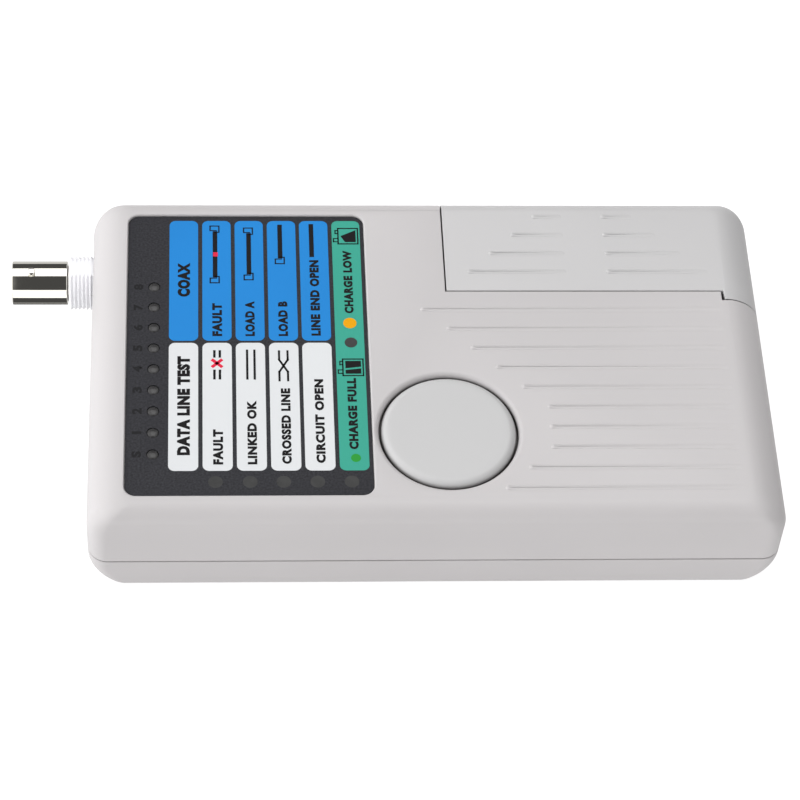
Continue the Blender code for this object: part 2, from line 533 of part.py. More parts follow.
lead("snap_lead_red", [(12.9, mid_y - 6.0, 11.0), (11.0, mid_y - 6.0, 11.0), (9.0, mid_y - 5.0, 11.6), (7.4, mid_y - 3.5, 13.4), (7.0, mid_y - 3.0, 16.2)], RED)
lead("snap_lead_black", [(12.9, mid_y + 5.0, 11.0), (11.0, mid_y + 5.0, 11.0), (9.0, mid_y + 4.2, 11.6), (7.4, mid_y + 2.6, 13.4), (7.0, mid_y + 2.0, 16.2)], BLACK)


# ---- screws -------------------------------------------------------------------------------
def screw(name, x, y, head, tip, r_head, r_shank):
    """A pan-head screw driven upwards, with a cross recess in its head."""
    o = turned(name, [(0.0, head), (r_head - 0.5, head), (r_head, head + 0.5), (r_head, head + 1.5), (r_shank, head + 1.5), (r_shank, tip - 0.8), (0.0, tip)], (x, y, 0), "Z", STEEL, sides=16)
    combine(o, box("tmp_cross_a", x - 1.3, x + 1.3, y - 0.25, y + 0.25, head - 1, head + 0.7, cutter=True),
            box("tmp_cross_b", x - 0.25, x + 0.25, y - 1.3, y + 1.3, head - 1, head + 0.7, cutter=True))


for i, (x, y) in enumerate(CASE_SCREWS):
    screw(f"case_screw_{i + 1}", x, y, 2.2, 16.0, 2.5, 1.15)
for i, (x, y) in enumerate(BOARD_SCREWS):
    screw(f"board_screw_{i + 1}", x, y, 14.8, 21.6, 2.2, 0.85)
for i, (x, y) in enumerate(REMOTE_SCREWS):
    screw(f"remote_screw_{i + 1}", x, y, 2.2, 16.0, 2.5, 1.15)

# ---- remote unit --------------------------------------------------------------------------
posts(remote_top, REMOTE_SCREWS, 2.8, PARTING + 0.6, 23.4)
rcuts = [cylinder(f"tmp_rpilot{i}", 1.5, (x, y, 0), (x, y, 18.5), cutter=True, sides=12) for i, (x, y) in enumerate(REMOTE_SCREWS)]
remote_jack_hole = box("remote_jack_hole", 60, 80, REMOTE_JACK_Y - 8.2, REMOTE_JACK_Y + 8.2, 2.6, 16.6, cutter=True)
remote_usb_hole = box("remote_usb_hole", 2, 8, REMOTE_USB_Y - 6.3, REMOTE_USB_Y + 6.3, 5.1, 16.6, cutter=True)
combine(remote_top, *rcuts)
combine(remote_top, remote_jack_hole, remote_usb_hole)
for rib in ribs("rrib", REMOTE_RIBS):
    join(remote_top, rib)
posts(remote_bottom, REMOTE_SCREWS, 4.4, 1.0, PARTING - 0.15)
join(remote_bottom, box("tmp_groove_block", 5.0, 62.0, 17.2, 20.6, 1.0, 8.3, cutter=True))
groove_shape = [(DOCK_Y - 1.0, 3.3), (DOCK_Y - 0.2, 3.3), (DOCK_Y + 1.7, 2.6), (DOCK_Y + 1.7, 7.4), (DOCK_Y - 0.2, 6.7), (DOCK_Y - 1.0, 6.7)]
combine(remote_bottom, dovetail("tmp_groove", groove_shape, 0.0, 60.4))
rlow = [cylinder(f"tmp_rhead{i}", 2.9, (x, y, -2), (x, y, 4), cutter=True, sides=16) for i, (x, y) in enumerate(REMOTE_SCREWS)]
rlow += [cylinder(f"tmp_rshank{i}", 1.5, (x, y, -2), (x, y, 12), cutter=True, sides=12) for i, (x, y) in enumerate(REMOTE_SCREWS)]
combine(remote_bottom, *rlow)
combine(remote_bottom, remote_jack_hole, remote_usb_hole)
rboard = box("remote_pcb", 7.0, 65.5, 19.2, 39.6, PCB_Z0, PCB_Z1, BOARD)
combine(rboard, *[cylinder(f"tmp_rboard_hole{i}", 3.2, (x, y, 10), (x, y, 22), cutter=True, sides=16) for i, (x, y) in enumerate(REMOTE_SCREWS)])

for helper in list(CUTTERS.objects):
    helper.hide_render = True
    helper.display_type = "WIRE"
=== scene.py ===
"""Network cable tester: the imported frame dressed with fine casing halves, printed label, lights, button and connector.

Lengths are in millimetres unless a name says otherwise. The frame is the record's: origin under the middle of the main unit,
+X away from the connector end, +Z out of the label face.
"""
import json
import math

import bmesh
import bpy
from mathutils import Matrix, Vector


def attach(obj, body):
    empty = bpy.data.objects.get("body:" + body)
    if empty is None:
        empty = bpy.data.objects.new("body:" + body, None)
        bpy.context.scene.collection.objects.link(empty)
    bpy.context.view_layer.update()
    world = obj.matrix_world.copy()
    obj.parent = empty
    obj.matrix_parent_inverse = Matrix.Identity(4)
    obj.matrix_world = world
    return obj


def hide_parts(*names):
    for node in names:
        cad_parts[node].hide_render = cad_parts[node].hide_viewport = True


MM = 0.001
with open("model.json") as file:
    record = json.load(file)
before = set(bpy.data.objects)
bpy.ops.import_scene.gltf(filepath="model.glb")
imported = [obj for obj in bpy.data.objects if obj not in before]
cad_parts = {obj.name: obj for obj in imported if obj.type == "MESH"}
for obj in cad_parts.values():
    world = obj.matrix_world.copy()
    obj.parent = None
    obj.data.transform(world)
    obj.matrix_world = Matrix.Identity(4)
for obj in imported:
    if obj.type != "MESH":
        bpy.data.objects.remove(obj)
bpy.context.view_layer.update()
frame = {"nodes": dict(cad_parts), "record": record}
NODES = frame["nodes"]

# ---- dimensions ---------------------------------------------------------------------------
LENGTH, WIDTH, HEIGHT = 144.6, 85.0, 25.0
WALL = 2.0
PARTING, PART_GAP, PART_ROLL = 8.4, 0.3, 0.18
R_END_TOP, R_END_BOTTOM = 8.3, 7.4
R_SIDE_TOP, R_SIDE_BOTTOM = 3.8, 0.9
R_PLAN = 4.2

LABEL = (-64.4, -13.4, -37.25, 37.5)
LABEL_R = 2.4
FILM_TOP, FILM_THICK = 24.55, 0.3

BUTTON_XY, BUTTON_R, BUTTON_HOLE_R = (2.63, -21.2), 14.2, 14.58
BUTTON_TOP = 25.25

RIB_PITCH, RIB_Y0 = 5.22, 37.22
RIB_HALF, RIB_H = 0.58, 0.12

DOCK_X, DOCK_Y = 3.9, 16.25
TAB_X, TAB_Y = 63.7, 13.85

LINE_LED_X, LINE_LED_Y0, LINE_LED_PITCH = -58.74, 17.63, 5.55
RESULT_LED_X = (-45.84, -38.74, -31.87, -24.91)
RESULT_LED_Y = -33.8

COAX_Y, COAX_Z = 28.65, 12.5
COAX_TIP, COAX_SHOULDER = -90.0, -77.9
LUG_LEAN = math.radians(12)
JACK_Y, USB_Y = 3.0, -19.0
REMOTE_JACK_Y, REMOTE_USB_Y = 30.2, 30.0

# ---- mesh tools ---------------------------------------------------------------------------
PIECES = bpy.data.collections.new("pieces")
bpy.context.scene.collection.children.link(PIECES)


def add(name, mesh):
    o = bpy.data.objects.new(name, mesh)
    PIECES.objects.link(o)
    return o


def finish_mesh(name, bm, smooth=35.0):
    bmesh.ops.recalc_face_normals(bm, faces=bm.faces)
    mesh = bpy.data.meshes.new(name)
    bm.to_mesh(mesh)
    bm.free()
    if smooth:
        mesh.shade_smooth()
        mesh.set_sharp_from_angle(angle=math.radians(smooth))
    return add(name, mesh)


def resmooth(o, angle=35.0):
    o.data.shade_smooth()
    o.data.set_sharp_from_angle(angle=math.radians(angle))
    return o


def box(name, x0, x1, y0, y1, z0, z1, bevel=0.0, segments=2):
    bm = bmesh.new()
    bmesh.ops.create_cube(bm, size=1.0)
    bmesh.ops.scale(bm, vec=Vector(((x1 - x0) * MM, (y1 - y0) * MM, (z1 - z0) * MM)), verts=bm.verts)
    bmesh.ops.translate(bm, vec=Vector(((x0 + x1) / 2 * MM, (y0 + y1) / 2 * MM, (z0 + z1) / 2 * MM)), verts=bm.verts)
    if bevel:
        bmesh.ops.bevel(bm, geom=bm.edges[:], offset=bevel * MM, segments=segments, affect="EDGES", profile=0.5)
    return finish_mesh(name, bm)


def cylinder(name, r, p, q, sides=48):
    p, q = Vector(p), Vector(q)
    bm = bmesh.new()
    bmesh.ops.create_cone(bm, cap_ends=True, segments=sides, radius1=r * MM, radius2=r * MM, depth=(q - p).length * MM)
    turn = (q - p).to_track_quat("Z", "Y").to_matrix().to_4x4()
    bmesh.ops.transform(bm, matrix=Matrix.Translation((p + q) / 2 * MM) @ turn, verts=bm.verts)
    return finish_mesh(name, bm)


def turned(name, profile, at, axis="Z", sides=96, smooth=35.0):
    """A (radius, height) profile turned once round with bmesh's spin."""
    bm = bmesh.new()
    verts = [bm.verts.new((r * MM, 0.0, h * MM)) for r, h in profile]
    edges = [bm.edges.new(pair) for pair in zip(verts, verts[1:])]
    if profile[0][0] > 1e-6:
        edges.append(bm.edges.new((verts[-1], verts[0])))
    bmesh.ops.spin(bm, geom=verts + edges, cent=(0, 0, 0), axis=(0, 0, 1), angle=2 * math.pi, steps=sides, use_merge=False)
    bmesh.ops.remove_doubles(bm, verts=bm.verts, dist=2e-7)
    turn = {"Z": Matrix.Identity(4), "X": Matrix.Rotation(math.radians(90), 4, "Y")}[axis]
    bmesh.ops.transform(bm, matrix=Matrix.Translation(Vector(at) * MM) @ turn, verts=bm.verts)
    return finish_mesh(name, bm, smooth)


def outline(points, radius=0.0, segments=8):
    """An anticlockwise outline with each corner rounded."""
    if not radius:
        return list(points)
    out, n = [], len(points)
    for i in range(n):
        a, b, c = Vector(points[i - 1]), Vector(points[i]), Vector(points[(i + 1) % n])
        u, v = (a - b).normalized(), (c - b).normalized()
        half = u.angle(v) / 2
        reach = radius / math.tan(half)
        centre = b + (u + v).normalized() * (radius / math.sin(half))
        s, e = b + u * reach - centre, b + v * reach - centre
        turn = s.angle_signed(e)
        for k in range(segments + 1):
            w = Matrix.Rotation(-turn * k / segments, 2) @ s
            out.append((centre.x + w.x, centre.y + w.y))
    return out


def rectangle(x0, x1, y0, y1, grow=0.0):
    return [(x0 - grow, y0 - grow), (x1 + grow, y0 - grow), (x1 + grow, y1 + grow), (x0 - grow, y1 + grow)]


def loft(name, rings, smooth=35.0):
    """Skins a stack of closed rings with the same number of points, and caps both ends."""
    bm = bmesh.new()
    rows = [[bm.verts.new((x * MM, y * MM, z * MM)) for x, y, z in ring] for ring in rings]
    for low, high in zip(rows, rows[1:]):
        n = len(low)
        for i in range(n):
            bm.faces.new((low[i], low[(i + 1) % n], high[(i + 1) % n], high[i]))
    bm.faces.new(list(reversed(rows[0])))
    bm.faces.new(rows[-1])
    return finish_mesh(name, bm, smooth)


def prism(name, points, z0, z1):
    return loft(name, [[(x, y, z) for x, y in points] for z in (z0, z1)])


def lip_cutter(name, shape, z_floor, z_top, r, steps=5):
    """A cutter whose wall flares out near z_top, so that the edge it leaves is rounded by r. shape(grow) gives its outline."""
    rings = [[(x, y, z_floor) for x, y in shape(0.0)]]
    for k in range(steps + 1):
        a = math.pi / 2 * k / steps
        rings.append([(x, y, z_top - r + r * math.sin(a)) for x, y in shape(r - r * math.cos(a))])
    rings.append([(x, y, z_top + 4.0) for x, y in shape(r + 0.02)])
    return loft(name, rings)


def combine(target, *others, how="DIFFERENCE", keep=False):
    for other in others:
        mod = target.modifiers.new("cut", "BOOLEAN")
        mod.operation = how
        mod.solver = "EXACT"
        mod.object = other
    graph = bpy.context.evaluated_depsgraph_get()
    made = bpy.data.meshes.new_from_object(target.evaluated_get(graph))
    target.modifiers.clear()
    old = target.data
    target.data = made
    bpy.data.meshes.remove(old)
    if not keep:
        for other in others:
            bpy.data.objects.remove(other)
    return target


def merge(name, objects):
    """Several meshes made one object, without a Boolean."""
    bm = bmesh.new()
    for o in objects:
        bm.from_mesh(o.data)
        bpy.data.objects.remove(o)
    mesh = bpy.data.meshes.new(name)
    bm.to_mesh(mesh)
    bm.free()
    return add(name, mesh)


# ---- the casing's form --------------------------------------------------------------------
def insets(z, t):
    """How far ends and sides have drawn in at height z, for a surface t inside the outer one."""
    def arc(r, reach):
        return r - math.sqrt(max(r * r - reach * reach, 0.0))

    low, high = z - t, HEIGHT - t - z
    end = side = 0.0
    for r_end, r_side, d in ((R_END_BOTTOM, R_SIDE_BOTTOM, low), (R_END_TOP, R_SIDE_TOP, high)):
        r = r_end - t
        if d < r:
            end = max(end, arc(r, r - d))
        r = max(r_side - t, 0.3)
        if d < r:
            side = max(side, arc(r, r - d))
    return end, side


def ring_at(z, t, corner, extra=0.0):
    end, side = insets(z, t)
    a, b = LENGTH / 2 - t - end - extra, WIDTH / 2 - t - side - extra
    r = max(R_PLAN - t - 0.3 * end - extra, 1.2)
    return [(x, y, z) for x, y in outline([(-a, -b), (a, -b), (a, b), (-a, b)], r, corner)]


def heights(t, steps, side_steps):
    found = set()
    for r, up, n in ((R_END_BOTTOM - t, False, steps), (max(R_SIDE_BOTTOM - t, 0.3), False, side_steps), (R_END_TOP - t, True, steps), (R_SIDE_TOP - t, True, side_steps)):
        for i in range(n + 1):
            s = math.sin(math.pi / 2 * i / n)
            found.add(round(HEIGHT - t - r + r * s if up else t + r - r * s, 4))
    return sorted(found)


def casing(name, t=0.0, steps=8, side_steps=4, corner=8):
    rings, last = [], None
    for z in heights(t, steps, side_steps):
        if last is not None and z - last < 0.03 and z < HEIGHT - t - 1e-3:
            continue
        last = z
        rings.append(ring_at(z, t, corner))
    return loft(name, rings)


def half(name, upper):
    """The outer form of one casing half, with its parting edge rolled over."""
    levels = [z for z in heights(0.0, 20, 9)]
    if upper:
        start = PARTING + PART_GAP / 2
        levels = [z for z in levels if z > start + PART_ROLL + 0.05]
        roll = [(start + PART_ROLL * (1 - math.sin(a)), PART_ROLL * (1 - math.cos(a))) for a in (math.radians(k) for k in (90, 60, 30, 0))]
        rings = [ring_at(z, 0.0, 16, e) for z, e in roll]
    else:
        start = PARTING - PART_GAP / 2
        levels = [z for z in levels if z < start - PART_ROLL - 0.05]
        rings = []
    last = None
    for z in levels:
        if last is not None and z - last < 0.03 and z < HEIGHT - 1e-3:
            continue
        last = z
        rings.append(ring_at(z, 0.0, 16))
    if not upper:
        rings += [ring_at(start - PART_ROLL * (1 - math.sin(a)), 0.0, 16, PART_ROLL * (1 - math.cos(a))) for a in (math.radians(k) for k in (0, 30, 60, 90))]
    return loft(name, rings)


def dock(d):
    """The docked unit's outline, moved outwards by d on its inner sides."""
    x0, y0, tx, ty = DOCK_X - d, DOCK_Y - d, TAB_X - d, TAB_Y - d
    return [(x0, y0), (tx, y0), (tx, ty), (95.0, ty), (95.0, 60.0), (x0, 60.0)]


SEAM, SEAM_R = 0.12, 0.22
hollow_main = casing("hollow_main", WALL)
combine(hollow_main, prism("t", dock(SEAM + WALL), -5, 30))
hollow_remote = casing("hollow_remote", WALL)
combine(hollow_remote, prism("t", dock(-0.16 - 1.8), -5, 30), how="INTERSECT")

top = half("top_shell_skin", True)
combine(top, lip_cutter("t", lambda g: dock(SEAM + g), -5, HEIGHT, SEAM_R))
combine(top, hollow_main, keep=True)
bottom = half("bottom_shell_skin", False)
combine(bottom, prism("t", dock(SEAM), -5, 30))
combine(bottom, hollow_main)

def dock_remote(g):
    """The same outline for the docked unit, whose tab stands a little off the notch's long edge."""
    p = dock(g)
    p[0], p[1], p[2] = (p[0][0], p[0][1] - 0.09), (p[1][0] + 0.2, p[1][1] - 0.09), (p[2][0] + 0.42, p[2][1])
    return p


remote_keep = loft("t", [[(x, y, z) for x, y in dock_remote(g)] for z, g in
                         [(-5.0, -0.16), (HEIGHT - SEAM_R, -0.16)] + [(HEIGHT - SEAM_R + SEAM_R * math.sin(a), -0.16 - SEAM_R + SEAM_R * math.cos(a)) for a in (math.radians(k) for k in (22, 45, 67, 90))] + [(HEIGHT + 3, -0.17 - SEAM_R)]])
rtop = half("remote_top_skin", True)
combine(rtop, remote_keep, how="INTERSECT", keep=True)
combine(rtop, hollow_remote, keep=True)
rbottom = half("remote_bottom_skin", False)
combine(rbottom, remote_keep, how="INTERSECT")
combine(rbottom, hollow_remote)

# ---- cuts in the upper half ---------------------------------------------------------------
recess = lip_cutter("t", lambda g: outline(rectangle(*LABEL, grow=0.12 + g), LABEL_R + 0.12 + g, 10), FILM_TOP - FILM_THICK - 0.05, HEIGHT, 0.42)
hole_lip = 1.15
hole = [(0.0, 19.0), (BUTTON_HOLE_R, 19.0)] + [(BUTTON_HOLE_R + hole_lip * (1 - math.cos(a)), HEIGHT - hole_lip + hole_lip * math.sin(a)) for a in (math.radians(k) for k in range(0, 91, 9))] + [(BUTTON_HOLE_R + hole_lip + 0.01, 30.0), (0.0, 30.0)]
combine(top, recess)
combine(top, turned("t", hole, (*BUTTON_XY, 0), sides=128))
line_leds = [(LINE_LED_X, LINE_LED_Y0 - i * LINE_LED_PITCH) for i in range(9)]
flat_leds = [(x, RESULT_LED_Y) for x in RESULT_LED_X] + [(-17.9, -33.8), (-17.0, 2.43)]
for x, y in line_leds + flat_leds:
    combine(top, cylinder("t", 1.85, (x, y, 21), (x, y, 30), 24))
seat_x = -68.9
for shell, z0, z1 in ((top, PARTING + PART_GAP / 2 + 0.2, 30), (bottom, -5, PARTING - PART_GAP / 2 - 0.2)):
    seat = cylinder("t", 8.6, (-72.2, COAX_Y, COAX_Z), (seat_x, COAX_Y, COAX_Z))
    combine(seat, casing("t2", 0.7), how="INTERSECT")
    combine(seat, box("t3", -80, -60, 15, 45, z0, z1), how="INTERSECT")
    combine(shell, seat, how="UNION")
for shell in (top, bottom):
    coax = cylinder("t", 6.2, (-80, COAX_Y, COAX_Z), (-60, COAX_Y, COAX_Z), 64)
    combine(coax, box("t1", -90, -50, COAX_Y - 10, COAX_Y + 10, COAX_Z + 5.55, COAX_Z + 10))
    combine(shell, coax)
    combine(shell, cylinder("t", 8.4, (seat_x, COAX_Y, COAX_Z), (-62, COAX_Y, COAX_Z)))
    combine(shell, box("t", -80, -60, JACK_Y - 8.15, JACK_Y + 8.15, 2.7, 16.55))
    combine(shell, box("t", -80, -60, USB_Y - 6.8, USB_Y + 6.8, 10.25, 16.5))
for shell in (rtop, rbottom):
    combine(shell, box("t", 60, 80, REMOTE_JACK_Y - 8.15, REMOTE_JACK_Y + 8.15, 2.7, 16.55))
    combine(shell, box("t", 2, 8, REMOTE_USB_Y - 6.25, REMOTE_USB_Y + 6.25, 5.15, 16.5))

# ---- lower half, battery door -------------------------------------------------------------
CASE_SCREWS = ((-60.0, -35.0), (-54.0, 36.0), (56.0, -35.5), (-3.0, 35.5))
REMOTE_SCREWS = ((27.5, 30.0), (43.0, 30.0))
DOOR = (16.5, 80.0, -27.2, 3.2)


def screw_wells(shell, places):
    for x, y in places:
        combine(shell, cylinder("t", 4.4, (x, y, 1.0), (x, y, PARTING - 0.3), 32), how="UNION")
        combine(shell, cylinder("t", 2.9, (x, y, -2), (x, y, 4), 32), cylinder("t1", 1.5, (x, y, -2), (x, y, 12), 24))


screw_wells(bottom, CASE_SCREWS)
screw_wells(rbottom, REMOTE_SCREWS)
combine(bottom, box("t", 14.2, 66.5, -31.0, 7.0, 1.0, 3.3), how="UNION")


def bar(name, shape, x0, x1):
    """A bar along X with the given (y, z) section."""
    return loft(name, [[(x, y, z) for y, z in shape] for x in (x0, x1)])


combine(bottom, bar("t", [(DOCK_Y - 1.6, 3.6), (DOCK_Y - 0.4, 3.6), (DOCK_Y + 1.4, 2.9), (DOCK_Y + 1.4, 7.1), (DOCK_Y - 0.4, 6.4), (DOCK_Y - 1.6, 6.4)], 6.0, 60.0), how="UNION")
combine(bottom, box("t", DOOR[0] - 0.25, 90, DOOR[2] - 0.25, DOOR[3] + 0.25, -5, 12), box("t1", DOOR[0] - 0.25, 90, DOOR[2] - 1.45, DOOR[3] + 1.45, 0.65, 2.05))
combine(rbottom, box("t", 5.0, 62.0, 17.2, 20.6, 1.0, 8.3), how="UNION")
combine(rbottom, bar("t", [(DOCK_Y - 1.0, 3.3), (DOCK_Y - 0.2, 3.3), (DOCK_Y + 1.7, 2.6), (DOCK_Y + 1.7, 7.4), (DOCK_Y - 0.2, 6.7), (DOCK_Y - 1.0, 6.7)], 0.0, 60.4))

door = half("battery_door_skin", False)
combine(door, box("t", *DOOR, -5, PARTING - 0.25), how="INTERSECT")
combine(door, casing("t", 1.8))
for y in (DOOR[2] - 1.2, DOOR[3] - 1.0):
    combine(door, box("t", DOOR[0], 62.0, y, y + 2.2, 0.95, 1.75), how="UNION")
for i in range(6):
    x = 20.5 + 1.9 * i
    combine(door, loft("t", [[(px, py, z) for px, py in outline(rectangle(x - g, x + 1.0 + g, -18 - g, -6 + g), 0.45 + g, 5)] for z, g in ((-0.6, 0.25), (0.0, 0.0), (0.5, -0.1))]))

shells = [top, bottom, rtop, rbottom, door]


# ---- ribs ---------------------------------------------------------------------------------
def rib(x0, x1, y):
    """A low round-topped ridge on the top face, standing up sharply at its left end and dying away at its right."""
    bm = bmesh.new()
    rows = []
    for s in (-0.06, 0.0, 0.04, 0.12, 0.25, 0.42, 0.62, 0.82, 0.998):
        h = RIB_H * math.sqrt(max(1.0 - (1.0 - s) ** 2, 0.0)) if s > 0 else s * 0.4
        w = RIB_HALF * (1 - s)
        n = 12
        stations = [x1 - RIB_HALF - d for d in (0.5, 1.2, 2.0, 3.0)] + [x0 + RIB_HALF + d for d in (2.2, 1.4, 0.8, 0.4)]
        ring = [(x0 + RIB_HALF - w * math.sin(math.pi * k / n), y + w * math.cos(math.pi * k / n)) for k in range(n + 1)]
        ring += [(px, y - w) for px in reversed(stations)]
        ring += [(x1 - RIB_HALF + w * math.sin(math.pi * k / n), y - w * math.cos(math.pi * k / n)) for k in range(n + 1)]
        ring += [(px, y + w) for px in stations]
        rows.append([bm.verts.new((px * MM, py * MM, (HEIGHT + h * min(max((x1 - px) / 3.6, 0.12), 1.0) * (1.0 + 1.3 * min(max(1.6 - (px - x0), 0.0), 1.0))) * MM)) for px, py in ring])
    for low, high in zip(rows, rows[1:]):
        for i in range(len(low)):
            bm.faces.new((low[i], low[(i + 1) % len(low)], high[(i + 1) % len(low)], high[i]))
    bm.faces.new(rows[-1])
    return finish_mesh("rib", bm, 75)


MAIN_RIBS = [(5, -1.5, 63.3), (6, 3.8, 63.3), (7, 8.65, 63.3), (8, 13.7, 63.3), (9, 18.85, 63.3), (10, 24.0, 63.3), (11, 24.0, 63.3), (12, 24.0, 63.3), (13, 19.0, 63.3), (14, 13.85, 63.3)]
REMOTE_RIBS = [(0, 24.15, 30.4), (1, 19.1, 30.4), (2, 14.1, 30.4), (3, 9.05, 30.4), (0, 39.35, 45.9), (1, 39.35, 50.7), (2, 39.35, 55.75), (3, 39.35, 61.3)]
END_LIMIT = 63.3
main_ribs = merge("top_shell_ribs", [rib(a - 0.35, min(b, END_LIMIT), RIB_Y0 - k * RIB_PITCH) for k, a, b in MAIN_RIBS])
remote_ribs = merge("remote_ribs", [rib(a - 0.35, min(b, END_LIMIT), RIB_Y0 - k * RIB_PITCH) for k, a, b in REMOTE_RIBS])
for o in (main_ribs, remote_ribs):
    resmooth(o, 75)

# ---- label --------------------------------------------------------------------------------
film_outline = outline(rectangle(*LABEL), LABEL_R, 10)
film = loft("label_film", [[(x, y, z) for x, y in outline(rectangle(*LABEL, grow=-g), LABEL_R - g, 10)] for z, g in ((FILM_TOP - FILM_THICK, 0.0), (FILM_TOP - 0.06, 0.0), (FILM_TOP - 0.015, 0.02), (FILM_TOP, 0.07))])
for x, y in line_leds:
    combine(film, cylinder("t", 1.3, (x, y, 20), (x, y, 30), 32))
resmooth(film, 30)

COLUMNS = [(-55.55, -49.36), (-48.46, -42.27), (-41.41, -35.25), (-34.38, -28.18), (-27.36, -21.15), (-20.27, -14.15)]
CELL_ROWS = ((2.94, 36.27), (-31.0, 2.39))
INK = FILM_TOP + 0.012
INK2 = FILM_TOP + 0.03


def patch(x0, x1, y0, y1, r, z0=FILM_TOP - 0.05, z1=INK):
    return prism("patch", outline(rectangle(x0, x1, y0, y1), r, 8), z0, z1)


def disc(x, y, r, z1, z0=FILM_TOP - 0.05, sides=40):
    return cylinder("disc", r, (x, y, z0), (x, y, z1), sides)


blue_cells = merge("label_blue_cells", [patch(a, b, *CELL_ROWS[0], 1.35) for a, b in COLUMNS[:5]])
white_cells = merge("label_white_cells", [patch(a, b, *CELL_ROWS[1], 1.35) for a, b in COLUMNS[:5]])
green_strip = patch(*COLUMNS[5], CELL_ROWS[1][0], CELL_ROWS[0][1], 1.35)
green_strip.name = "label_green_strip"


def words(text, x_top, x_base, y0, y1, weight=0.0, z=INK2):
    """A line of capitals reading towards +Y, its tops towards -X, fitted to the given box."""
    curve = bpy.data.curves.new("words", "FONT")
    curve.body = text
    curve.size = 1.0
    curve.offset = weight
    curve.resolution_u = 3
    curve.space_character = 1.14
    o = bpy.data.objects.new("words", curve)
    PIECES.objects.link(o)
    graph = bpy.context.evaluated_depsgraph_get()
    mesh = bpy.data.meshes.new_from_object(o.evaluated_get(graph))
    bpy.data.objects.remove(o)
    xs = [v.co.x for v in mesh.vertices]
    ys = [v.co.y for v in mesh.vertices]
    lx, hx, ly, hy = min(xs), max(xs), min(ys), max(ys)
    sx, sy = (y1 - y0) / (hx - lx), (x_base - x_top) / (hy - ly)
    bm = bmesh.new()
    bm.from_mesh(mesh)
    for v in bm.verts:
        v.co = Vector(((x_base - (v.co.y - ly) * sy) * MM, (y0 + (v.co.x - lx) * sx) * MM, z * MM))
    bmesh.ops.recalc_face_normals(bm, faces=bm.faces)
    for f in bm.faces:
        if f.normal.z < 0:
            f.normal_flip()
    made = bpy.data.meshes.new("words")
    bm.to_mesh(made)
    bm.free()
    return add("words", made)


label_words = merge("label_words", [
    words("COAX", -53.76, -51.06, 14.95, 24.33, 0.07),
    words("FAULT", -46.36, -44.26, 4.19, 13.16, 0.06),
    words("LOAD A", -39.36, -37.31, 4.19, 13.66, 0.06),
    words("LOAD B", -32.31, -30.26, 4.19, 13.66, 0.06),
    words("LINE END OPEN", -25.36, -23.31, 4.29, 25.12, 0.06),
    words("CHARGE LOW", -18.06, -16.11, 10.37, 27.82, 0.06),
    words("DATA LINE TEST", -53.76, -51.06, -27.02, -1.20, 0.07),
    words("FAULT", -46.31, -44.21, -29.41, -20.44, 0.06),
    words("LINKED OK", -39.21, -37.21, -29.41, -12.96, 0.06),
    words("CROSSED LINE", -32.11, -30.11, -29.31, -9.77, 0.06),
    words("CIRCUIT OPEN", -25.06, -23.11, -29.11, -7.38, 0.06),
    words("CHARGE FULL", -18.16, -16.21, -25.62, -7.08, 0.06),
])


def flat(points, z=INK2):
    return prism("mark", points, FILM_TOP - 0.02, z)


def strip(x0, x1, y0, y1):
    return flat(rectangle(x0, x1, y0, y1))


def plug_mark(x, y, up):
    """A small stepped connector outline at the end of a cable bar."""
    s = 1 if up else -1
    return [strip(x - 1.2, x + 1.0, y + s * 0.9 - 0.14, y + s * 0.9 + 0.14), strip(x - 1.2, x - 0.92, *sorted((y - s * 0.4, y + s * 0.9))),
            strip(x + 0.72, x + 1.0, *sorted((y - s * 0.9, y + s * 0.9))), strip(x - 1.2, x + 0.4, y - s * 0.4 - 0.13, y - s * 0.4 + 0.13),
            strip(x - 0.1, x + 1.0, y - s * 0.9 - 0.13, y - s * 0.9 + 0.13)]


marks = []
for x, y0, y1, tops, ends in ((-45.7, 20.3, 33.3, True, True), (-38.4, 21.15, 32.75, True, True), (-31.6, 25.65, 35.2, False, True), (-24.75, 26.0, 35.4, False, False)):
    marks.append(strip(x - 0.5, x + 0.5, y0, y1))
    if tops:
        marks += plug_mark(x, y1 + 0.6, True)
    if ends:
        marks += plug_mark(x, y0 - 0.6, False)


def line_mark(points, width=0.46):
    """A thin drawn line through plan points, one strip a stretch."""
    made = []
    for (ax, ay), (bx, by) in zip(points, points[1:]):
        d = Vector((bx - ax, by - ay)).normalized() * (width / 2)
        n = Vector((-d.y, d.x))
        a, b = Vector((ax, ay)) - d, Vector((bx, by)) + d
        made.append(flat([tuple(a - n), tuple(b - n), tuple(b + n), tuple(a + n)]))
    return made


